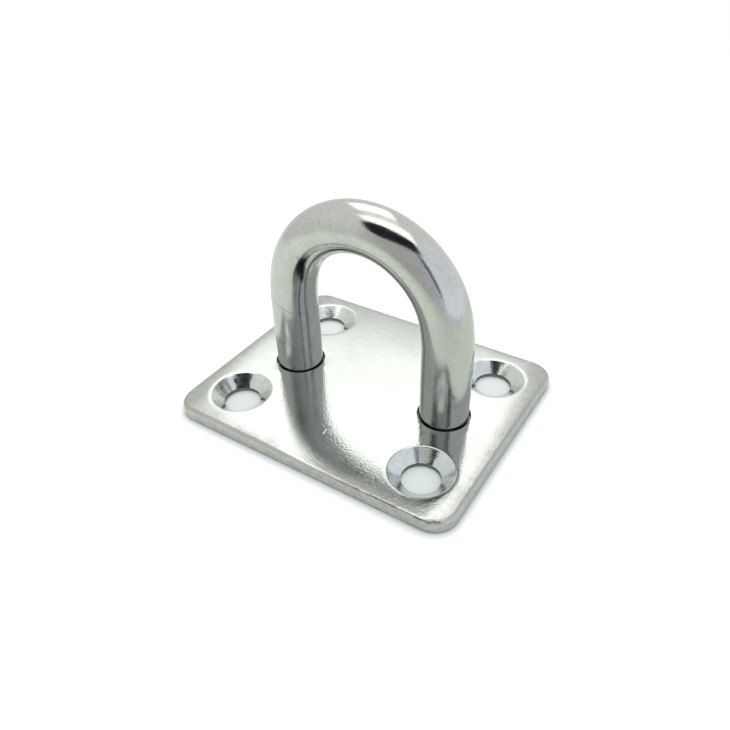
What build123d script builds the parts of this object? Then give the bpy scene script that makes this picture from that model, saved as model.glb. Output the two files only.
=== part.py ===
"""Pad eye: a rectangular stainless eye plate, with a bow of round bar welded in from below.

Frame: the origin is the centre of the plate's mounting face. +X runs from leg to leg, along
the plate's long side, +Y across it, and +Z up to the top of the bow. Lengths in millimetres.
"""

import os
from math import cos, radians, sin

from build123d import *

# Base plate, stamped from sheet and tumbled
plate_length = 50.0
plate_width = 40.6
plate_thickness = 2.4
corner_radius = 3.8
top_edge_round = 0.7
bottom_edge_break = 0.2

# Fixing holes, for M5 countersunk screws
hole_pitch_x = 34.0
hole_pitch_y = 25.0
hole_radius = 3.0
countersink_radius = 4.9
countersink_angle = 96
countersink_rim_round = 0.5

# Bow, bent from round bar: upright legs, long easy shoulders and a tighter round crown
bar_radius = 3.9
leg_spacing = 28.2
crown_radius = 13.8
crown_centre_height = 16.9
shoulder_angle = 11.5

# Leg holes in the plate, and the ring welds that fill the lower half of them
leg_hole_radius = 4.2
leg_hole_rim_round = 0.1
weld_bevel = 1.1

# The shoulder arcs run on from the upright legs and meet the crown with no kink.
leg_x = {"left": -leg_spacing / 2, "right": leg_spacing / 2}
shoulder_cos = cos(radians(shoulder_angle))
shoulder_radius = (leg_spacing / 2 - crown_radius * shoulder_cos) / (1 - shoulder_cos)
straight_leg_height = crown_centre_height - (shoulder_radius - crown_radius) * sin(
    radians(shoulder_angle)
)


def rims(part, face_index, radius):
    """Pick the round edges of one radius on the part's top (-1) or bottom (0) face."""
    edges = part.faces().sort_by(Axis.Z)[face_index].edges().filter_by(GeomType.CIRCLE)
    return edges.filter_by(lambda edge: abs(edge.radius - radius) < 0.01)


# The plate: rounded corners, a tumbled top edge, four countersunk holes and two leg holes.
with BuildPart() as base_plate:
    with BuildSketch():
        RectangleRounded(plate_length, plate_width, corner_radius)
    extrude(amount=plate_thickness)
    fillet(base_plate.faces().sort_by(Axis.Z)[-1].edges(), radius=top_edge_round)
    chamfer(base_plate.faces().sort_by(Axis.Z)[0].edges(), length=bottom_edge_break)

    with Locations(base_plate.faces().sort_by(Axis.Z)[-1]):
        with GridLocations(hole_pitch_x, hole_pitch_y, 2, 2):
            CounterSinkHole(hole_radius, countersink_radius, counter_sink_angle=countersink_angle)
        with GridLocations(leg_spacing, 1, 2, 1):
            Hole(leg_hole_radius)

    # Tumbling rounds the rims on the top face; the leg holes are bevelled below for the welds.
    fillet(rims(base_plate, -1, countersink_radius), radius=countersink_rim_round)
    fillet(rims(base_plate, -1, leg_hole_radius), radius=leg_hole_rim_round)
    chamfer(rims(base_plate, 0, leg_hole_radius), length=weld_bevel)

base_plate.part.label = "base_plate"


# The bow: round bar swept up one leg, over the bend and down the other, with its ends ground
# flush with the mounting face.
with BuildPart() as bow:
    with BuildLine(Plane.XZ) as bow_centreline:
        left_leg = Line((leg_x["left"], 0), (leg_x["left"], straight_leg_height))
        left_shoulder = JernArc(left_leg @ 1, left_leg % 1, shoulder_radius, -shoulder_angle)
        crown_angle = 180 - 2 * shoulder_angle
        crown = JernArc(left_shoulder @ 1, left_shoulder % 1, crown_radius, -crown_angle)
        right_shoulder = JernArc(crown @ 1, crown % 1, shoulder_radius, -shoulder_angle)
        Line(right_shoulder @ 1, (leg_x["right"], 0))
    with BuildSketch(Plane(origin=(leg_x["left"], 0, 0), z_dir=(0, 0, 1))):
        Circle(bar_radius)
    sweep(path=bow_centreline.wires()[0])

bow.part.label = "bow"


def ring_weld(centre_x):
    """Make the weld that fills a leg hole's bevel and gap, ground flush with the plate."""
    with BuildPart() as weld:
        with BuildSketch(Plane.XZ):
            with BuildLine():
                Polyline(
                    (centre_x + bar_radius, 0),
                    (centre_x + leg_hole_radius + weld_bevel, 0),
                    (centre_x + leg_hole_radius, weld_bevel),
                    (centre_x + bar_radius, weld_bevel),
                    close=True,
                )
            make_face()
        revolve(axis=Axis((centre_x, 0, 0), (0, 0, 1)))
    return weld


os.makedirs("parts", exist_ok=True)
export_step(base_plate.part, "parts/base_plate.step")
export_step(bow.part, "parts/bow.step")
for side, centre_x in leg_x.items():
    weld = ring_weld(centre_x)
    weld.part.label = f"weld_{side}"
    export_step(weld.part, f"parts/weld_{side}.step")
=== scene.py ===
"""Pad eye: the looks of a stainless eye plate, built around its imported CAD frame.

The meshes are worked out in millimetres and written in metres. +X runs from leg to leg, +Y across
the plate and +Z up, with the origin at the centre of the mounting face.
"""

from math import ceil, cos, hypot, pi, radians, sin, tan

import bmesh
import bpy
from mathutils import Matrix, Vector, noise
from mathutils.geometry import delaunay_2d_cdt


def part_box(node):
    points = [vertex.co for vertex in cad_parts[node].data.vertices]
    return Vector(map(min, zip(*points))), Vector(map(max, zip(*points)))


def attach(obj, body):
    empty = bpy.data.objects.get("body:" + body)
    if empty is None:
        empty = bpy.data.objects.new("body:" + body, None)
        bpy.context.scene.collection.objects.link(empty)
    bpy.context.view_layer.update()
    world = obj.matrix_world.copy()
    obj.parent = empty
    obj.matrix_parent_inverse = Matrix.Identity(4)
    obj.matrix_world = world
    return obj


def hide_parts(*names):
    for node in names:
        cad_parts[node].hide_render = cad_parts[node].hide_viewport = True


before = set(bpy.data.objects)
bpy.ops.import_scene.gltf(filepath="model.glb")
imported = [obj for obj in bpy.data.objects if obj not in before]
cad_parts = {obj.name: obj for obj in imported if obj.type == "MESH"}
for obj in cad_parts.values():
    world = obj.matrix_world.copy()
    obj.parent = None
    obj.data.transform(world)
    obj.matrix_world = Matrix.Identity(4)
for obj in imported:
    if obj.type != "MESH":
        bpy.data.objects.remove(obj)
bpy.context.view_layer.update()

MM = 0.001
# Points nearer to each other than this, in millimetres, become one
merge_distance = 1e-4

# ---------------------------------------------------------------- sizes, in millimetres

plate_low, plate_high = (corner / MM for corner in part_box("base_plate"))
bow_low, bow_high = (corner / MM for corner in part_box("bow"))

plate_length = plate_high.x - plate_low.x
plate_width = plate_high.y - plate_low.y
plate_thickness = plate_high.z
corner_radius = 3.8
top_edge_round = 0.7
bottom_edge_break = 0.2

hole_pitch_x = 34.0
hole_pitch_y = 25.0
hole_radius = 3.0
countersink_radius = 4.9
countersink_half_angle = radians(48)
countersink_rim_round = 0.5

bar_radius = (bow_high.y - bow_low.y) / 2
leg_x = bow_high.x - bar_radius
crown_radius = 13.8
crown_centre_height = 16.9
shoulder_angle = radians(11.5)
shoulder_radius = (leg_x - crown_radius * cos(shoulder_angle)) / (1 - cos(shoulder_angle))
straight_leg_height = crown_centre_height - (shoulder_radius - crown_radius) * sin(shoulder_angle)

leg_hole_radius = 4.2
leg_hole_rim_round = 0.1
weld_bevel = 1.1

hole_centres = [(sx * hole_pitch_x / 2, sy * hole_pitch_y / 2) for sx in (-1, 1) for sy in (-1, 1)]
# How far each hand-cut countersink has drifted off its hole at the top face, in the same order
countersink_drifts = [(-0.10, 0.14), (0.15, 0.10), (0.04, -0.08), (0.16, -0.08)]
leg_centres = {"left": (-leg_x, 0.0), "right": (leg_x, 0.0)}

# ---------------------------------------------------------------- camera

camera_aim = Vector((1.12, -2.52, 8.50))
camera_azimuth = radians(33.86)
camera_elevation = radians(37.68)
camera_roll = radians(-1.74)
camera_distance = 106.2
camera_lens = 33.14


def make_camera():
    """Place the camera on a line back from the aim point, and roll it a little."""
    back = Vector((
        sin(camera_azimuth) * cos(camera_elevation),
        -cos(camera_azimuth) * cos(camera_elevation),
        sin(camera_elevation),
    ))
    data = bpy.data.cameras.new("camera")
    data.lens = camera_lens
    data.sensor_width = 36.0
    data.clip_start = 0.001
    camera = bpy.data.objects.new("camera", data)
    turn = (-back).to_track_quat("-Z", "Y").to_matrix().to_4x4()
    place = Matrix.Translation((camera_aim + back * camera_distance) * MM)
    camera.matrix_world = place @ turn @ Matrix.Rotation(camera_roll, 4, "Z")
    bpy.context.scene.collection.objects.link(camera)
    bpy.context.scene.camera = camera
    return camera


# ---------------------------------------------------------------- node helpers

# The share of a scratch's width that is at full strength
scratch_core = 0.4


class Nodes:
    """A short way to write a node tree: each call adds a node and returns its output."""

    def __init__(self, owner):
        owner.use_nodes = True
        self.tree = owner.node_tree
        self.tree.nodes.clear()

    def add(self, kind, inputs=(), output=0, **settings):
        node = self.tree.nodes.new(kind)
        for name, value in settings.items():
            setattr(node, name, value)
        for key, value in dict(inputs).items():
            self.plug(node.inputs[key], value)
        return node.outputs[output] if len(node.outputs) else node

    def plug(self, socket, value):
        if isinstance(value, bpy.types.NodeSocket):
            self.tree.links.new(value, socket)
        else:
            socket.default_value = value

    def math(self, operation, a, b=0.0):
        return self.add("ShaderNodeMath", {0: a, 1: b}, operation=operation)

    def vector(self, operation, a, b, output=0):
        return self.add("ShaderNodeVectorMath", {0: a, 1: b}, output, operation=operation)

    def part(self, vector, axis):
        return self.add("ShaderNodeSeparateXYZ", {0: vector}, axis)

    def ramp(self, value, low, high, to_low=0.0, to_high=1.0):
        """A smooth step from to_low to to_high as value goes from low to high."""
        inputs = {
            "Value": value,
            "From Min": low,
            "From Max": high,
            "To Min": to_low,
            "To Max": to_high,
        }
        return self.add("ShaderNodeMapRange", inputs, interpolation_type="SMOOTHSTEP")

    def noise(self, place, size, detail=2.0):
        """Soft noise with lumps about size millimetres across."""
        inputs = {"Vector": place, "Scale": 1 / (size * MM), "Detail": detail}
        return self.add("ShaderNodeTexNoise", inputs)

    def mix(self, share, a, b):
        """A colour from a to b."""
        node = self.tree.nodes.new("ShaderNodeMix")
        node.data_type = "RGBA"
        for index, value in ((0, share), (6, a), (7, b)):
            self.plug(node.inputs[index], value)
        return node.outputs[2]

    def stretched(self, place, shares):
        """place with each axis scaled: noise drawn on it is long where the share is small."""
        return self.vector("MULTIPLY", place, shares)

    def scratch(self, place, start, end, width):
        """1 on a thin line between two (x, y, z) points in millimetres.

        The line goes right through the object: along Y if both points have y = 0, and else along Z.
        """
        keep = (1, 0, 1) if start[1] == end[1] == 0 else (1, 1, 0)
        start, end = (Vector(point) * Vector(keep) * MM for point in (start, end))
        run = end - start
        flat = self.vector("MULTIPLY", place, keep)
        from_start = self.vector("SUBTRACT", flat, start)
        along = self.vector("DOT_PRODUCT", from_start, run, "Value")
        share = self.ramp(along, 0, run.length_squared + 1e-12)
        share.node.interpolation_type = "LINEAR"
        nearest = self.add("ShaderNodeVectorMath", {0: run, "Scale": share}, operation="SCALE")
        away = self.vector("DISTANCE", from_start, nearest, "Value")
        return self.ramp(away, scratch_core * width * MM, width * MM, 1, 0)

    def bar_mark(self, place, start, end, width):
        """A scratch between two (x, z) points on the bar's front side."""
        line = self.scratch(place, (start[0], 0, start[1]), (end[0], 0, end[1]), width)
        front_side = self.ramp(self.part(place, "Y"), -0.5 * MM, 0.0, 1, 0)
        return self.math("MULTIPLY", line, front_side)

    def from_plate(self, place):
        """Level distance outwards from the plate's outline, in metres; inside it is negative, and
        no lower than minus the corner radius."""
        half_x = plate_length / 2 - corner_radius
        half_y = plate_width / 2 - corner_radius
        half_size = Vector((half_x, half_y, 0)) * MM
        flat = self.vector("ABSOLUTE", self.stretched(place, (1, 1, 0)), (0, 0, 0))
        from_middle = self.vector("SUBTRACT", flat, half_size)
        past_corner = self.vector("MAXIMUM", from_middle, (0, 0, 0))
        away = self.add("ShaderNodeVectorMath", {0: past_corner}, "Value", operation="LENGTH")
        return self.math("SUBTRACT", away, corner_radius * MM)

    def bump(self, height, depth, normal=None):
        """Relief of the given depth in millimetres, on top of normal."""
        inputs = {"Height": height, "Distance": depth * MM, "Strength": 1.0}
        if normal is not None:
            inputs["Normal"] = normal
        return self.add("ShaderNodeBump", inputs)


# ---------------------------------------------------------------- studio

room_light = 0.90
room_light_side_gain = 0.12
left_tint = (0.97, 1.0, 0.93)
right_tint = (0.965, 1.0, 1.045)
lamp_tint = (1.0, 1.0, 0.94)
lamp_light = 1.80
glow_light = 1.18
window_light = 2.45
behind_camera_azimuth = 168
behind_camera_share = 0.60

# The lights on a map of the sky, 0 straight up and 1 at the horizon: v runs across, u towards the
# window. Each edge is (dark, bright).
lamp_v = ((-0.29, -0.25), (0.22, 0.18))
lamp_u = ((-0.16, -0.12), (0.075, 0.045))
window_v = ((-0.205, -0.145), (0.155, 0.090))
window_u = ((0.200, 0.270), (0.61, 0.43))
window_azimuth = -30


# Where the room is darker behind the camera: degrees off its azimuth, and height (z), with the
# darkening full up to the first number of each pair and gone from the second on
behind_camera_spread = (15, 55)
behind_camera_height = (0.75, 0.9)
# The lamp and the window fade in from the horizon up to this height (z)
horizon_fade = 0.1
# The room's tint turns from left to right between these two values of x
tint_change = (0.15, 0.5)
# How fast the gain to one side falls off with height
side_gain_height_share = 1.3


def facing(n, direction, azimuth):
    """The direction's level part, turned so that azimuth (from +Y towards +X) lies along Y."""
    turn = {"Vector": direction, "Angle": radians(azimuth)}
    turned = n.add("ShaderNodeVectorRotate", turn, rotation_type="Z_AXIS")
    return n.part(turned, "X"), n.part(turned, "Y")


def sky_patch(n, z, across, along, v_edges, u_edges):
    """1 inside a soft-edged rectangle of the sky map."""
    share = n.ramp(z, 0.0, horizon_fade)
    for place, edges in ((across, v_edges), (along, u_edges)):
        for dark, bright in edges:
            if bright > dark:
                side = n.ramp(place, dark, bright)
            else:
                side = n.ramp(place, bright, dark, 1, 0)
            share = n.math("MULTIPLY", share, side)
    return share


def room_level(n, direction, x, z):
    """How bright the room is: a little more on its right, and less behind the camera."""
    height_share = n.math("SUBTRACT", 1.0, n.math("MULTIPLY", z, side_gain_height_share))
    lean = n.math("MULTIPLY", x, height_share)
    level = n.math("ADD", room_light, n.math("MULTIPLY", lean, room_light_side_gain))
    beside, ahead = facing(n, direction, behind_camera_azimuth)
    aside = n.math("ABSOLUTE", n.math("ARCTAN2", beside, ahead))
    near, far = (radians(angle) for angle in behind_camera_spread)
    low_enough = n.ramp(z, *behind_camera_height, 1, 0)
    behind_camera = n.math("MULTIPLY", n.ramp(aside, near, far, 1, 0), low_enough)
    return n.math("MULTIPLY", level, n.ramp(behind_camera, 0, 1, 1, behind_camera_share))


def make_world():
    """A pale room with a wide soft lamp overhead and a tall soft window behind the object."""
    world = bpy.data.worlds.new("studio")
    bpy.context.scene.world = world
    n = Nodes(world)
    direction = n.add("ShaderNodeTexCoord", output="Generated")
    x, z = (n.part(direction, axis) for axis in "XZ")

    levels = facing(n, direction, window_azimuth)
    v, u = (n.math("DIVIDE", level, n.math("ADD", z, 1.001)) for level in levels)
    lamp = sky_patch(n, z, v, u, lamp_v, lamp_u)
    glow = sky_patch(n, z, v, u, window_v, (lamp_u[0], window_u[1]))
    window = sky_patch(n, z, v, u, window_v, window_u)

    tint = n.mix(n.ramp(x, *tint_change), (*left_tint, 1), (*right_tint, 1))
    colour = n.vector("SCALE", tint, (0, 0, 0))
    n.plug(colour.node.inputs["Scale"], room_level(n, direction, x, z))
    for share, light in ((glow, glow_light), (lamp, lamp_light), (window, window_light)):
        colour = n.mix(share, colour, (*(light * part for part in lamp_tint), 1))

    surroundings = n.add("ShaderNodeBackground", {"Color": colour})
    backdrop = n.add("ShaderNodeBackground", {"Color": (1, 1, 1, 1)})
    seen = n.add("ShaderNodeLightPath", output="Is Camera Ray")
    shown = n.add("ShaderNodeMixShader", {0: seen, 1: surroundings, 2: backdrop})
    n.add("ShaderNodeOutputWorld", {"Surface": shown})

    settings = bpy.context.scene.view_settings
    settings.view_transform = "Standard"
    settings.look = "None"


# Painted light and shade on the table in reflections: lighter on its left than on its right, and a
# painted shade towards the camera
floor_light_and_tint_left = (0.94, 0.965, 0.915, 1)
floor_light_and_tint_right = (0.77, 0.82, 0.77, 1)
floor_shaded_share = 0.86
floor_seen_colour = (1.18, 1.205, 1.235, 1)
# Painted shade on the table seen directly: in front of the plate, and a painted contact shadow along
# its outline
floor_painted_front_shade = (0.88, 0.94, 0.95, 1)
floor_painted_shadow_colour = (0.87, 0.905, 0.935, 1)
floor_painted_shadow_reach = (-0.3, 1.5)
floor_reach = 600.0
floor_fade = (60.0, 330.0)
floor_drop = 0.02


# Distances in millimetres: from the middle towards +X, and from the middle towards the camera
# Where the painted light changes across the table, and where the painted shade falls towards the
# camera
floor_light_and_tint_change = (-60.0, 60.0)
floor_shade = (25.0, 90.0)
# Where the painted shade in front of the plate lies: towards the camera, and from the plate's
# outline
floor_front_shade_span = (8.0, 18.0)
floor_front_shade_edge = (-2.5, -1.0)


def reflected_floor(n, place, towards_camera):
    """The table's colour in reflections: painted light, lighter to the left, and painted shade in
    front.
    """
    across = n.ramp(n.part(place, "X"), *(edge * MM for edge in floor_light_and_tint_change))
    lit = n.mix(across, floor_light_and_tint_left, floor_light_and_tint_right)
    near, far = (edge * MM for edge in floor_shade)
    shading = n.ramp(towards_camera, near, far, 1, floor_shaded_share)
    inputs = {0: lit, "Scale": shading}
    return n.add("ShaderNodeVectorMath", inputs, operation="SCALE")


def seen_floor(n, place, towards_camera):
    """The table's colour seen directly: white, with a painted contact shadow along the plate's
    outline and a painted shade in front of the plate.
    """
    from_plate = n.from_plate(place)
    open_floor = n.ramp(from_plate, *(edge * MM for edge in floor_painted_shadow_reach))
    colour = n.mix(open_floor, floor_painted_shadow_colour, floor_seen_colour)
    painted_front_shade = n.ramp(towards_camera, *(edge * MM for edge in floor_front_shade_span))
    outer, inner = (edge * MM for edge in floor_front_shade_edge)
    painted_front_shade = n.math("MULTIPLY", painted_front_shade, n.ramp(from_plate, outer, inner, 1, 0))
    return n.mix(painted_front_shade, colour, floor_painted_front_shade)


def floor_cut(n, place):
    """1 where the table is clear: far out, and wherever it is seen from below or from the plate."""
    reach = n.add("ShaderNodeVectorMath", {0: place}, "Value", operation="LENGTH")
    faded = n.ramp(reach, *(edge * MM for edge in floor_fade))
    from_below = n.add("ShaderNodeNewGeometry", output="Backfacing")
    ray_length = n.add("ShaderNodeLightPath", output="Ray Length")
    from_underside = n.math("LESS_THAN", ray_length, 2 * floor_drop * MM)
    return n.math("MAXIMUM", faded, n.math("MAXIMUM", from_below, from_underside))


def square_card(name, half_size):
    """A flat square object on the XY plane, half_size millimetres to each side."""
    mesh = bpy.data.meshes.new(name)
    half = half_size * MM
    corners = [(-half, -half, 0), (half, -half, 0), (half, half, 0), (-half, half, 0)]
    mesh.from_pydata(corners, [], [(0, 1, 2, 3)])
    card = bpy.data.objects.new(name, mesh)
    bpy.context.scene.collection.objects.link(card)
    return card


def make_floor():
    """A white table that fades into the room, with painted shade and painted light on it. It is
    clear from below, to show the underside.
    """
    floor = square_card("floor", floor_reach)
    floor.location.z = -floor_drop * MM
    material = bpy.data.materials.new("white_table_painted_shade")
    n = Nodes(material)
    place = n.add("ShaderNodeTexCoord", output="Object")
    front = (sin(camera_azimuth), -cos(camera_azimuth), 0)
    towards_camera = n.vector("DOT_PRODUCT", place, front, "Value")
    seen = n.add("ShaderNodeLightPath", output="Is Camera Ray")
    reflected = reflected_floor(n, place, towards_camera)
    colour = n.mix(seen, reflected, seen_floor(n, place, towards_camera))
    white = n.add("ShaderNodeBsdfDiffuse", {"Color": colour})
    clear = n.add("ShaderNodeBsdfTransparent")
    surface = n.add("ShaderNodeMixShader", {0: floor_cut(n, place), 1: white, 2: clear})
    n.add("ShaderNodeOutputMaterial", {"Surface": surface})
    floor.data.materials.append(material)


# The dark camera as seen along the lens, in millimetres right of it and above it
dark_card_half = 150.0
camera_body_centre = (-27.5, 58.0)
camera_body_half = (67.0, 44.0)
camera_body_edge = (0.88, 1.06)
camera_body_taper = (-90.0, 20.0, 0.58)
camera_grip_centre = (29.0, -4.0)
camera_grip_half = (10.0, 46.0)
camera_grip_lean = 0.20
camera_grip_edge = (0.55, 1.15)
camera_grip_share = 0.8
camera_corner_power = 4
camera_black = (0.012, 0.013, 0.017, 1)


def soft_block(n, right, above, centre, half, edge):
    """1 inside a rounded block with soft edges."""
    shares = []
    for position, middle, reach in ((right, centre[0], half[0]), (above, centre[1], half[1])):
        share = n.math("DIVIDE", n.math("SUBTRACT", position, middle * MM), reach * MM)
        shares.append(n.math("POWER", n.math("ABSOLUTE", share), camera_corner_power))
    away = n.math("POWER", n.math("ADD", *shares), 1 / camera_corner_power)
    return n.ramp(away, *edge, 1, 0)


def camera_shape(n, place):
    """1 where the camera's body or grip is, with the body lower towards its right end."""
    right = n.part(place, "X")
    above = n.part(place, "Y")
    taper_start, taper_end, taper_share = camera_body_taper
    taper = n.ramp(right, taper_start * MM, taper_end * MM, 1, taper_share)
    middle = camera_body_centre[1] * MM
    squeezed = n.math("ADD", n.math("DIVIDE", n.math("SUBTRACT", above, middle), taper), middle)
    body = soft_block(n, right, squeezed, camera_body_centre, camera_body_half, camera_body_edge)
    leaned = n.math("ADD", right, n.math("MULTIPLY", above, camera_grip_lean))
    grip = soft_block(n, leaned, above, camera_grip_centre, camera_grip_half, camera_grip_edge)
    return n.math("MAXIMUM", body, n.math("MULTIPLY", grip, camera_grip_share))


def make_dark_camera(camera):
    """The black camera that the polished steel mirrors, out of focus. Only reflections see it."""
    dark = square_card("dark_camera", dark_card_half)
    dark.matrix_world = camera.matrix_world.copy()
    material = bpy.data.materials.new("camera_black")
    n = Nodes(material)
    place = n.add("ShaderNodeTexCoord", output="Object")
    black = n.add("ShaderNodeEmission", {"Color": camera_black})
    clear = n.add("ShaderNodeBsdfTransparent")
    surface = n.add("ShaderNodeMixShader", {0: camera_shape(n, place), 1: clear, 2: black})
    n.add("ShaderNodeOutputMaterial", {"Surface": surface})
    dark.data.materials.append(material)
    dark.visible_camera = False
    dark.visible_diffuse = False
    dark.visible_shadow = False
    dark.visible_transmission = False


# ---------------------------------------------------------------- mesh helpers

def circle(centre, radius, count):
    """Points of a circle, counter-clockwise."""
    turns = [2 * pi * k / count for k in range(count)]
    return [(centre[0] + radius * cos(turn), centre[1] + radius * sin(turn)) for turn in turns]


def plate_outline(inset, spacing=0.25, arc_steps=24):
    """Points of the plate's outline moved in by inset, counter-clockwise.

    Every inset gives the same count, so that outlines can be joined.
    """
    half_x = plate_length / 2 - corner_radius
    half_y = plate_width / 2 - corner_radius
    radius = corner_radius - inset
    points = []
    for quarter, (sx, sy) in enumerate(((1, 1), (-1, 1), (-1, -1), (1, -1))):
        centre = Vector((sx * half_x, sy * half_y))
        for k in range(arc_steps):
            turn = (quarter + k / arc_steps) * pi / 2
            points.append(centre + radius * Vector((cos(turn), sin(turn))))
        turn = (quarter + 1) * pi / 2
        start = centre + radius * Vector((cos(turn), sin(turn)))
        ahead = Vector((-sin(turn), cos(turn)))
        run = 2 * (half_y if quarter % 2 else half_x)
        steps = ceil(run / spacing)
        points += [start + ahead * run * k / steps for k in range(steps)]
    return [tuple(point) for point in points]


def join_loops(bm, loops, material_index=0):
    """Join closed loops of points, each to the next, with quads. Returns the rings of vertices."""
    rings = [[bm.verts.new(point) for point in loop] for loop in loops]
    for ring, next_ring in zip(rings, rings[1:]):
        for k in range(len(ring)):
            after = (k + 1) % len(ring)
            face = bm.faces.new((ring[k], ring[after], next_ring[after], next_ring[k]))
            face.material_index = material_index
    return rings


def fill_flat(bm, z, outline, holes, facing, material_index=0, spacing=1.0):
    """Fill the flat between an outline and round holes with near-even triangles.

    Each hole is (centre, radius, count).
    """
    points = [Vector(point) for point in outline]
    edges = [(k, (k + 1) % len(points)) for k in range(len(points))]
    for centre, radius, count in holes:
        start = len(points)
        points += [Vector(point) for point in circle(centre, radius, count)]
        edges += [(start + k, start + (k + 1) % count) for k in range(count)]

    def in_hole(x, y, margin):
        return any(hypot(x - c[0], y - c[1]) < radius + margin for c, radius, count in holes)

    reach_x = plate_length / 2 - top_edge_round - 0.6 * spacing
    reach_y = plate_width / 2 - top_edge_round - 0.6 * spacing
    for i in range(ceil(plate_length / spacing)):
        for j in range(ceil(plate_width / spacing)):
            x = (i + 0.5 * (j % 2)) * spacing - plate_length / 2
            y = j * spacing - plate_width / 2
            in_corner = abs(x) + abs(y) > reach_x + reach_y - corner_radius
            in_reach = abs(x) < reach_x and abs(y) < reach_y
            if in_reach and not in_corner and not in_hole(x, y, 0.4 * spacing):
                points.append(Vector((x, y)))

    flat_points, _, triangles, _, _, _ = delaunay_2d_cdt(points, edges, [], 0, 1e-6)
    vertices = [bm.verts.new((point.x, point.y, z)) for point in flat_points]
    for triangle in triangles:
        x, y = sum((flat_points[k] for k in triangle), Vector((0, 0))) / 3
        if in_hole(x, y, 0):
            continue
        face = bm.faces.new([vertices[k] for k in triangle])
        face.normal_update()
        if face.normal.z * facing < 0:
            face.normal_flip()
        face.material_index = material_index


def make_piece(name, bm, materials, node, crease=35):
    """Turn a millimetre mesh into a smooth-shaded piece in metres that rides on the frame."""
    bmesh.ops.remove_doubles(bm, verts=bm.verts, dist=merge_distance)
    loose = [vertex for vertex in bm.verts if not vertex.link_faces]
    bmesh.ops.delete(bm, geom=loose, context="VERTS")
    bmesh.ops.scale(bm, vec=(MM, MM, MM), verts=bm.verts)
    mesh = bpy.data.meshes.new(name)
    bm.to_mesh(mesh)
    bm.free()
    for material in materials:
        mesh.materials.append(material)
    mesh.shade_smooth()
    mesh.set_sharp_from_angle(angle=radians(crease))
    piece = bpy.data.objects.new(name, mesh)
    bpy.context.scene.collection.objects.link(piece)
    flats = piece.modifiers.new("flat_faces_stay_flat", "WEIGHTED_NORMAL")
    flats.keep_sharp = True
    flats.weight = 90
    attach(piece, "root")
    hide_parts(node)
    return piece


# ---------------------------------------------------------------- base plate

countersink_count = 160
leg_hole_count = 128
dish_depth = 0.006
dish_size = 7.0
edge_wear = 0.03
edge_wear_size = 3.0


def edge_profile():
    """(inset, z) up the plate's edge: bottom break, sheared wall, tumbled round."""
    wall_top = plate_thickness - top_edge_round
    wall_steps = 6
    round_steps = 12
    profile = [(bottom_edge_break, 0.0)]
    for k in range(wall_steps + 1):
        profile.append((0.0, bottom_edge_break + (wall_top - bottom_edge_break) * k / wall_steps))
    for k in range(1, round_steps + 1):
        turn = k / round_steps * pi / 2
        profile.append((top_edge_round * (1 - cos(turn)), wall_top + top_edge_round * sin(turn)))
    return profile


lip_width = 0.45
lip_depth = 0.012
lip_steps = 5
rim_steps = 9
cone_steps = 80
# The worn lip and the start of the rim round are satin like the top; the cutter left the rest
satin_steps = 7
countersink_extra = 0.10

feed_pitch = 0.31
feed_depth = 0.0014
chatter_lobes = 37
chatter_depth = 0.0030
scuff_size = 0.55
scuff_depth = 0.0085


def countersink_profile():
    """(radius, z, cut) down a screw hole: worn lip, tumbled rim, machined cone.

    cut is 1 where the cutter's marks show.
    """
    fall = pi / 2 - countersink_half_angle
    rim_reach = countersink_rim_round * tan(fall / 2)
    profile = []
    for k in range(lip_steps):
        share = k / lip_steps
        radius = countersink_radius + rim_reach + lip_width * (1 - share)
        profile.append((radius, plate_thickness - lip_depth * share ** 2, 0))
    for k in range(rim_steps + 1):
        turn = fall * k / rim_steps
        radius = countersink_radius + rim_reach - countersink_rim_round * sin(turn)
        z = plate_thickness - lip_depth - countersink_rim_round * (1 - cos(turn))
        profile.append((radius, z, 0))
    top_radius, top_z, _ = profile[-1]
    bottom_z = plate_thickness - (countersink_radius - hole_radius) * tan(fall)
    for k in range(1, cone_steps + 1):
        share = k / cone_steps
        cut = 0 if k == cone_steps else 1
        radius = top_radius + (hole_radius - top_radius) * share
        profile.append((radius, top_z + (bottom_z - top_z) * share, cut))
    return profile


def tool_mark(hole, depth, turn):
    """How far the cutter's feed rings, chatter and scuffs push the cone in, in millimetres."""
    ring = sin(2 * pi * depth / feed_pitch + hole) * feed_depth
    ring *= max(0.15, noise.noise(Vector((cos(turn), sin(turn), hole)) * 2.2) + 0.45)
    across = Vector((cos(turn), sin(turn), 0)) * countersink_radius
    scuff_place = across / scuff_size + Vector((hole * 9, 0, depth / scuff_size))
    scuff = noise.noise(scuff_place) * scuff_depth
    fade = max(0.0, noise.noise(Vector((hole * 5, depth * 1.2, turn * 1.5))) + 0.2)
    chatter = sin(chatter_lobes * turn + 4 * depth + hole) * chatter_depth * fade
    return ring + scuff + chatter


def countersink_loops(hole, centre, drift):
    """The loops of one countersunk hole, with its machining marks."""
    loops = []
    profile = countersink_profile()
    for radius, z, cut in profile:
        share = min(1.0, (radius - hole_radius) / (countersink_radius - hole_radius))
        radius += countersink_extra * share
        loop = []
        for k, (x, y) in enumerate(circle((0, 0), 1, countersink_count)):
            turn = 2 * pi * k / countersink_count
            push = cut * tool_mark(hole, plate_thickness - z, turn)
            reach = radius + push * cos(countersink_half_angle)
            point_x = centre[0] + drift[0] * share + reach * x
            point_y = centre[1] + drift[1] * share + reach * y
            loop.append((point_x, point_y, z - push * sin(countersink_half_angle)))
        loops.append(loop)
    return loops


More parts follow.
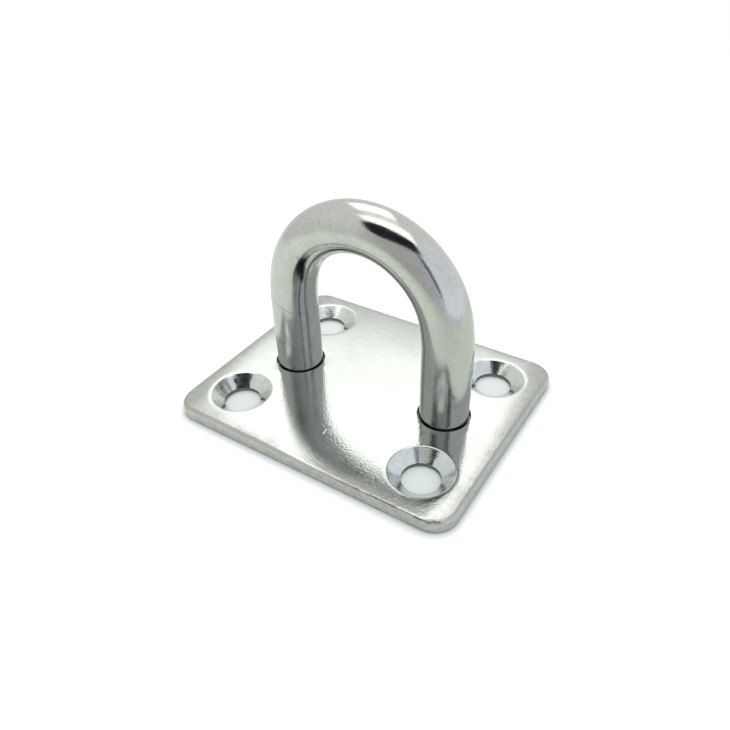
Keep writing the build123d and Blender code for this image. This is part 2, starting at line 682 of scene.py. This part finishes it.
def leg_hole_profile():
    """(radius, z) down a leg hole: small tumbled rim, wall, bevel for the weld."""
    rim_steps = 4
    profile = []
    for k in range(rim_steps + 1):
        turn = k / rim_steps * pi / 2
        rim_centre = leg_hole_radius + leg_hole_rim_round
        radius = rim_centre - leg_hole_rim_round * sin(turn)
        profile.append((radius, plate_thickness - leg_hole_rim_round * (1 - cos(turn))))
    profile.append((leg_hole_radius, weld_bevel))
    profile.append((leg_hole_radius + weld_bevel, 0.0))
    return profile


def smoothstep(low, high, value):
    """A smooth step from 0 to 1 as value goes from low to high."""
    share = min(1.0, max(0.0, (value - low) / (high - low)))
    return share * share * (3 - 2 * share)


# The top face's roll towards the short and the long edges: (reach, depth)
side_roll = (5.0, 0.16)
front_roll = (11.0, 0.19)


def die_roll(x, y):
    """How far the top face rolls down towards the stamped edges, in millimetres."""
    dip = 0.0
    from_side = plate_length / 2 - abs(x)
    from_front = plate_width / 2 - abs(y)
    for from_edge, (reach, depth) in ((from_side, side_roll), (from_front, front_roll)):
        dip += depth * max(0.0, 1 - from_edge / reach) ** 2
    return dip


# Where the tumbling missed the front edge: x from which it fades in, and to which it fades out
missed_from = (-9, 6)
missed_to = (21.0, 23.0)
missed_squareness = 0.62
# The burr: its torn step, dark with painted shade and polishing residue, and its lip above, as
# shares of the way up the round, and how far each stands out. Each fades in between two values of x.
torn_step = (0.42, 0.62)
burr_top = 0.95
torn_reach = 0.09
burr_lip = 0.07
torn_from = (6, 10)
lip_from = (8, 11)
ragged_size = 1.1
ragged_fine_size = 0.35


def sharpen_front_edge(vertex, residue_and_shade):
    """Square up the right half of the front edge, where tumbling missed it and left a burr."""
    x, y, z = vertex.co
    wall_top = plate_thickness - top_edge_round
    inset = y + plate_width / 2
    missed = smoothstep(*missed_from, x) * (1 - smoothstep(*missed_to, x))
    if z <= wall_top or inset >= top_edge_round or missed <= 0:
        return
    power = 1 - missed_squareness * missed
    outward = max(0.0, 1 - inset / top_edge_round)
    upward = (z - wall_top) / top_edge_round
    vertex.co.y = top_edge_round * (1 - outward ** power) - plate_width / 2
    vertex.co.z = wall_top + top_edge_round * upward ** power
    coarse = noise.noise(Vector((x / ragged_size, 3.3, 0)))
    ragged = coarse + 0.5 * noise.noise(Vector((x / ragged_fine_size, 8.1, 0)))
    torn = smoothstep(-0.25, 0.15, ragged) * smoothstep(*torn_from, x)
    if torn_step[0] < upward < torn_step[1]:
        vertex.co.y += torn_reach * torn * missed
        # Marks the torn step for painted shade with polishing residue
        vertex[residue_and_shade] = torn
    elif torn_step[1] <= upward < burr_top:
        vertex.co.z += burr_lip * smoothstep(0.0, 0.3, ragged) * smoothstep(*lip_from, x)


def wear_plate(bm):
    """Roll and dish the top face very slightly, wear the outer edge unevenly, and leave its burr."""
    residue_and_shade = bm.verts.layers.float.new("residue_and_shade")
    half_x = plate_length / 2
    half_y = plate_width / 2
    for vertex in bm.verts:
        x, y, z = vertex.co
        height = z / plate_thickness
        dish = dish_depth * (1 - noise.noise(Vector((x, y, 0)) / dish_size))
        sharpen_front_edge(vertex, residue_and_shade)
        vertex.co.z -= height * (dish + die_roll(x, y))
        if z <= 0:
            continue
        rim_x = max(0, 1 - (half_x - abs(x)) / top_edge_round)
        rim_y = max(0, 1 - (half_y - abs(y)) / top_edge_round)
        if rim_x or rim_y:
            worn = edge_wear * (0.5 + 0.5 * noise.noise(Vector((x, y, z * 2)) / edge_wear_size))
            vertex.co.x -= rim_x * worn * (1 if x > 0 else -1)
            vertex.co.y -= rim_y * worn * (1 if y > 0 else -1)


def make_base_plate(top, cut, underside, sheared):
    """The stamped and tumbled plate with its six holes."""
    bm = bmesh.new()
    join_loops(bm, [[(x, y, z) for x, y in plate_outline(inset)] for inset, z in edge_profile()])
    for hole, (centre, drift) in enumerate(zip(hole_centres, countersink_drifts)):
        loops = countersink_loops(hole, centre, drift)
        join_loops(bm, loops[:satin_steps + 1])
        join_loops(bm, loops[satin_steps:], 1)
        join_loops(bm, [loops[-1], [(x, y, 0.0) for x, y, z in loops[-1]]], 3)
    for centre in leg_centres.values():
        loops = []
        for radius, z in leg_hole_profile():
            loops.append([(x, y, z) for x, y in circle(centre, radius, leg_hole_count)])
        join_loops(bm, loops[:-2])
        join_loops(bm, loops[-3:], 3)

    rim_radius = countersink_profile()[0][0] + countersink_extra
    leg_rim_radius = leg_hole_profile()[0][0]
    rim_centres = [(c[0] + d[0], c[1] + d[1]) for c, d in zip(hole_centres, countersink_drifts)]
    top_holes = [(c, rim_radius, countersink_count) for c in rim_centres]
    legs = leg_centres.values()
    top_holes += [(c, leg_rim_radius, leg_hole_count) for c in legs]
    fill_flat(bm, plate_thickness, plate_outline(top_edge_round), top_holes, 1)
    bottom_holes = [(c, hole_radius, countersink_count) for c in hole_centres]
    bottom_holes += [(c, leg_hole_radius + weld_bevel, leg_hole_count) for c in legs]
    fill_flat(bm, 0.0, plate_outline(bottom_edge_break), bottom_holes, -1, 2)
    bmesh.ops.remove_doubles(bm, verts=bm.verts, dist=merge_distance)
    wear_plate(bm)
    materials = [top, cut, underside, sheared]
    return make_piece("plate_shell", bm, materials, "base_plate")


# ---------------------------------------------------------------- bow

bow_step = 0.22
bow_segments = 144
long_wave = (3.0, 0.0040)
short_wave = (0.7, 0.0010)


def bow_centreline():
    """(x, z, outward x, outward z) from the left foot, over the crown, to the right foot."""
    side = []
    leg_steps = ceil(straight_leg_height / bow_step)
    for k in range(leg_steps):
        side.append((leg_x, straight_leg_height * k / leg_steps, 1.0, 0.0))
    bends = (
        (leg_x - shoulder_radius, straight_leg_height, shoulder_radius, 0.0, shoulder_angle),
        (0.0, crown_centre_height, crown_radius, shoulder_angle, pi / 2),
    )
    for centre_x, centre_z, radius, start, end in bends:
        steps = ceil(radius * (end - start) / bow_step)
        for k in range(steps):
            turn = start + (end - start) * k / steps
            x = centre_x + radius * cos(turn)
            z = centre_z + radius * sin(turn)
            side.append((x, z, cos(turn), sin(turn)))
    top = (0.0, crown_centre_height + crown_radius, 0.0, 1.0)
    left = [(-x, z, -out_x, out_z) for x, z, out_x, out_z in side]
    return left + [top] + side[::-1]


def bar_unevenness(point):
    """How far a drawn and polished bar's surface lies under its true radius, in millimetres."""
    low = 0.0
    for size, depth in (long_wave, short_wave):
        low += depth * (1 - noise.noise(point / size))
    return low


def make_bow(polished):
    """The bent round bar, slightly uneven as a polished bar is, with ground ends."""
    bm = bmesh.new()
    loops = []
    for x, z, out_x, out_z in bow_centreline():
        loop = []
        for across, along in circle((0, 0), 1, bow_segments):
            outward = Vector((across * out_x, -along, across * out_z))
            point = Vector((x, 0, z)) + outward * bar_radius
            loop.append(point - outward * bar_unevenness(point))
        loops.append(loop)
    rings = join_loops(bm, loops)
    bm.faces.new(rings[0][::-1])
    bm.faces.new(rings[-1])
    return make_piece("polished_bow", bm, [polished], "bow")


# ---------------------------------------------------------------- welds

weld_count = 160
weld_ripples = 26
weld_ripple_height = 0.06
ground_hollow = 0.05
ground_lump_size = 0.9


def make_weld(side, metal):
    """A ring weld: rippled where it froze inside the leg hole, and ground flush underneath."""
    bm = bmesh.new()
    centre = leg_centres[side]
    inner = bar_radius
    outer = leg_hole_radius + weld_bevel
    flat_steps = 8
    section = []
    for k in range(flat_steps + 1):
        share = k / flat_steps
        hollow = 1.0 if 0 < k < flat_steps else 0.0
        section.append((outer + (inner - outer) * share, 0.0, hollow, 0.0))
    section.append((inner, weld_bevel, 0.0, 0.0))
    section.append(((inner + leg_hole_radius) / 2, weld_bevel, 0.0, 1.0))
    section.append((leg_hole_radius, weld_bevel, 0.0, 0.0))
    section.append((outer, 0.0, 0.0, 0.0))
    loops = []
    for radius, z, hollow, ripple in section:
        loop = []
        for k, (x, y) in enumerate(circle(centre, radius, weld_count)):
            lump = max(0.0, noise.noise(Vector((x, y, 0)) / ground_lump_size))
            lift = hollow * ground_hollow * lump
            wave = abs(sin(weld_ripples * pi * k / weld_count))
            loop.append((x, y, z + lift - ripple * weld_ripple_height * wave))
        loops.append(loop)
    join_loops(bm, loops)
    bmesh.ops.recalc_face_normals(bm, faces=bm.faces)
    return make_piece(f"weld_bead_{side}", bm, [metal], f"weld_{side}")


# ---------------------------------------------------------------- materials

def steel_material(name, build):
    """A metallic Principled material; build(n, place) returns its colour, roughness and normal."""
    material = bpy.data.materials.new(name)
    n = Nodes(material)
    place = n.add("ShaderNodeTexCoord", output="Object")
    colour, roughness, normal = build(n, place)
    inputs = {"Base Color": colour, "Roughness": roughness, "Normal": normal, "Metallic": 1.0}
    surface = n.add("ShaderNodeBsdfPrincipled", inputs)
    n.add("ShaderNodeOutputMaterial", {"Surface": surface})
    return material


# The plate's finish, in millimetres: its grain, the heights between which the side wall gives way to
# the top and the painted shade at its foot ends, and how far in from the outline the scuffing
# reaches
grain_size = 0.19
grain_depth = 0.0115
wall_height = (1.7, 2.34)
foot_height = (0.05, 0.45)
scuff_reach = (-3.4, -0.4)

# Marks on the plate's top: start and end (x, y), half width, in millimetres
plate_scratches = (
    ((0.5, -13.7), (0.4, -12.6), 0.13),
)
plate_pits = (
    ((9.2, -16.0), 0.15),
    ((5.6, -15.4), 0.08),
    ((-14.5, -17.3), 0.10),
)


def strongest(n, shares):
    """The greatest of several shares."""
    most = 0.0
    for share in shares:
        most = n.math("MAXIMUM", most, share)
    return most


def plate_marks(n, place):
    """The scratched and the pitted share of the plate's top."""
    lines = []
    for start, end, width in plate_scratches:
        ends = ((*start, plate_thickness), (*end, plate_thickness))
        lines.append(n.scratch(place, *ends, width))
    spots = []
    for centre, radius in plate_pits:
        spot = (*centre, plate_thickness)
        spots.append(n.scratch(place, spot, spot, radius))
    return strongest(n, lines), strongest(n, spots)


def satin_top(n, place, cloud, scuffed, mottle):
    """The colour of the plate's top, duller where it is scuffed towards its edges."""
    speckle = n.noise(place, 0.17, 1)
    clouded = n.ramp(cloud, 0.3, 0.7)
    top = n.mix(clouded, (0.450, 0.474, 0.467, 1), (0.480, 0.504, 0.497, 1))
    top = n.mix(n.ramp(speckle, 0.3, 0.5, 0.35, 0), top, (0.30, 0.31, 0.30, 1))
    patchy = n.math("MULTIPLY", scuffed, n.ramp(mottle, 0.35, 0.6, 0.35, 0.8))
    return n.mix(patchy, top, (0.37, 0.35, 0.36, 1))


def satin(n, place):
    """Tumbled satin: fine even grain on top; a duller, drawn side wall, darker at its foot with
    painted shade.
    """
    height = n.part(place, "Z")
    wall = n.ramp(height, *(edge * MM for edge in wall_height), 1, 0)
    cloud = n.noise(place, 6.0, 3)
    grain = n.noise(place, grain_size, 0)
    near_edge = n.ramp(n.from_plate(place), *(edge * MM for edge in scuff_reach))
    scuffed = n.math("MULTIPLY", near_edge, n.ramp(cloud, 0.35, 0.6, 1, 0.45))
    drawn = n.noise(n.stretched(place, (0.12, 0.12, 1.0)), 0.14, 3)
    mottle = n.noise(place, 0.8, 3)
    scratched, pitted = plate_marks(n, place)

    top = satin_top(n, place, cloud, scuffed, mottle)
    top = n.mix(scratched, top, (0.90, 0.90, 0.88, 1))
    top = n.mix(n.math("MULTIPLY", pitted, 0.7), top, (0.16, 0.15, 0.13, 1))
    side = n.mix(n.ramp(mottle, 0.3, 0.7), (0.54, 0.535, 0.53, 1), (0.66, 0.655, 0.645, 1))
    side = n.mix(n.ramp(drawn, 0.35, 0.5, 0.35, 0), side, (0.38, 0.37, 0.36, 1))
    colour = n.mix(wall, top, side)
    # Painted shade: the wall darkens towards its foot, where the plate meets the table
    foot = n.ramp(height, *(edge * MM for edge in foot_height), 0.75, 0)
    colour = n.mix(foot, colour, (0.20, 0.20, 0.20, 1))
    # The burr's torn step: painted shade with polishing residue, near black
    residue_and_shade = n.add("ShaderNodeAttribute", output="Fac", attribute_name="residue_and_shade")
    colour = n.mix(residue_and_shade, colour, (0.06, 0.045, 0.035, 1))

    dull = n.math("MULTIPLY", n.math("MAXIMUM", wall, scuffed), 0.20)
    dull = n.math("MAXIMUM", dull, n.math("MULTIPLY", scratched, 0.4))
    roughness = n.math("ADD", n.ramp(grain, 0.25, 0.75, 0.07, 0.10), dull)
    drag = n.bump(n.math("MULTIPLY", drawn, wall), 0.01)
    return colour, roughness, n.bump(grain, grain_depth, drag)


def machined(n, place):
    """Cutter-bright cone: fine rings about each screw hole."""
    folded = n.vector("ABSOLUTE", place, (0, 0, 0))
    from_hole = n.vector("SUBTRACT", folded, (hole_pitch_x / 2 * MM, hole_pitch_y / 2 * MM, 0))
    level = n.stretched(from_hole, (1, 1, 0))
    radius = n.add("ShaderNodeVectorMath", {0: level}, "Value", operation="LENGTH")
    ring = n.noise(n.add("ShaderNodeCombineXYZ", {0: radius}), 0.09, 2)
    cloud = n.noise(place, 0.9, 3)
    colour = n.mix(n.ramp(cloud, 0.3, 0.7), (0.60, 0.64, 0.64, 1), (0.70, 0.73, 0.73, 1))
    roughness = n.ramp(cloud, 0.3, 0.7, 0.12, 0.20)
    return colour, roughness, n.bump(ring, 0.003)


def sheared(n, place):
    """Punched wall of a hole: dull and dark, partly as painted shade, and darkest under the cone
    with painted shade; with upright drag lines.
    """
    drag = n.noise(n.stretched(place, (1.0, 1.0, 0.05)), 0.15, 2)
    colour = n.mix(drag, (0.20, 0.21, 0.215, 1), (0.34, 0.36, 0.36, 1))
    # Painted shade: darker towards the top of the wall, under the cone
    shade_under_cone = n.ramp(n.part(place, "Z"), 0.1 * MM, 0.5 * MM, 0, 0.6)
    colour = n.mix(shade_under_cone, colour, (0.06, 0.065, 0.065, 1))
    return colour, n.ramp(drag, 0.3, 0.7, 0.3, 0.45), n.bump(drag, 0.008)


def ground(n, place):
    """Belt-ground underside: straight scratches along X."""
    lines = n.noise(n.stretched(place, (0.04, 1.0, 1.0)), 0.12, 3)
    cloud = n.noise(place, 5.0, 3)
    colour = n.mix(cloud, (0.53, 0.54, 0.53, 1), (0.60, 0.605, 0.59, 1))
    roughness = n.ramp(lines, 0.3, 0.7, 0.25, 0.40)
    return colour, roughness, n.bump(lines, 0.004)


# Hairlines on the bar's front side: start and end (x, z), width, in millimetres
scratches = (
    ((-16.8, 16.75), (-14.9, 15.8), 0.07),
    ((-14.6, 15.6), (-11.4, 13.9), 0.08),
    ((16.3, 3.0), (16.4, 6.2), 0.06),
)
# Faint stains on the bar's front side: start and end (x, z), half width, in millimetres
stains = (
    ((14.4, 7.6), (14.8, 3.9), 0.40),
    ((16.4, 10.8), (16.6, 3.2), 0.28),
    ((16.5, 9.4), (16.7, 8.8), 0.55),
    ((-9.3, 25.2), (-9.2, 22.0), 0.45),
)
# Pits on the bar's front side: (x, z) and radius, in millimetres
bar_pits = (
    ((-14.85, 13.5), 0.14),
    ((-7.3, 31.7), 0.12),
    ((-5.2, 31.9), 0.10),
    ((-3.2, 31.95), 0.12),
    ((16.6, 9.1), 0.13),
    ((17.3, 5.3), 0.09),
)


# How far the outlines of the bar's marks wander
mark_wander = 0.15


def bar_marks(n, place, haze):
    """The pitted or scratched share and the stained share of the bar."""
    wander = n.add("ShaderNodeTexNoise", {"Vector": place, "Scale": 900.0}, 1)
    shift = n.stretched(wander, (mark_wander * MM, 0, mark_wander * MM))
    wobbly = n.vector("ADD", place, shift)
    inputs = {"Vector": place, "Scale": 1 / (1.1 * MM)}
    spots = n.add("ShaderNodeTexVoronoi", inputs, "Distance")
    marks = n.math("MULTIPLY", n.ramp(spots, 0.04, 0.10, 1, 0), n.ramp(haze, 0.5, 0.6))
    for start, end, width in scratches:
        line = n.math("MULTIPLY", n.bar_mark(wobbly, start, end, width), 0.55)
        marks = n.math("MAXIMUM", marks, line)
    for centre, radius in bar_pits:
        marks = n.math("MAXIMUM", marks, n.bar_mark(wobbly, centre, centre, radius))
    stained = strongest(n, [n.bar_mark(wobbly, *stain) for stain in stains])
    return marks, stained


def polished(n, place):
    """Buffed bar: faint haze and mottling, tiny pits and hairline scratches."""
    haze = n.noise(place, 2.5, 3)
    fine = n.noise(place, 0.22, 3)
    mottle = n.noise(place, 0.6, 3)
    marks, stained = bar_marks(n, place, haze)
    stained = n.math("MULTIPLY", stained, n.ramp(mottle, 0.35, 0.6, 0.15, 0.6))
    steel = n.mix(n.ramp(haze, 0.3, 0.7), (0.580, 0.588, 0.580, 1), (0.625, 0.628, 0.615, 1))
    steel = n.mix(n.ramp(mottle, 0.3, 0.55, 0.25, 0), steel, (0.42, 0.42, 0.41, 1))
    steel = n.mix(n.ramp(fine, 0.38, 0.55, 0.22, 0), steel, (0.44, 0.44, 0.43, 1))
    steel = n.mix(stained, steel, (0.20, 0.19, 0.19, 1))
    colour = n.mix(marks, steel, (0.16, 0.14, 0.12, 1))
    dulled = n.ramp(n.part(place, "Z"), 9 * MM, 19 * MM, 0.09, 0)
    roughness = n.math("ADD", n.ramp(haze, 0.3, 0.7, 0.09, 0.14), dulled)
    normal = n.bump(n.math("SUBTRACT", fine, marks), 0.008)
    return colour, roughness, normal


def weld(n, place):
    """Ground weld: duller and warmer than the plate, with coarse scratches."""
    lines = n.noise(n.stretched(place, (0.05, 1.0, 1.0)), 0.16, 3)
    heat = n.noise(place, 1.5, 3)
    colour = n.mix(heat, (0.46, 0.44, 0.40, 1), (0.58, 0.57, 0.54, 1))
    roughness = n.ramp(lines, 0.3, 0.7, 0.30, 0.48)
    return colour, roughness, n.bump(lines, 0.006)


# ---------------------------------------------------------------- assembly

make_world()
make_floor()
make_dark_camera(make_camera())

satin_steel = steel_material("satin_steel", satin)
machined_steel = steel_material("machined_steel", machined)
ground_steel = steel_material("ground_steel", ground)
sheared_steel_and_shade = steel_material("sheared_steel_and_shade", sheared)
polished_steel = steel_material("polished_steel", polished)
weld_steel = steel_material("weld_steel", weld)

make_base_plate(satin_steel, machined_steel, ground_steel, sheared_steel_and_shade)
make_bow(polished_steel)
for side in leg_centres:
    make_weld(side, weld_steel)
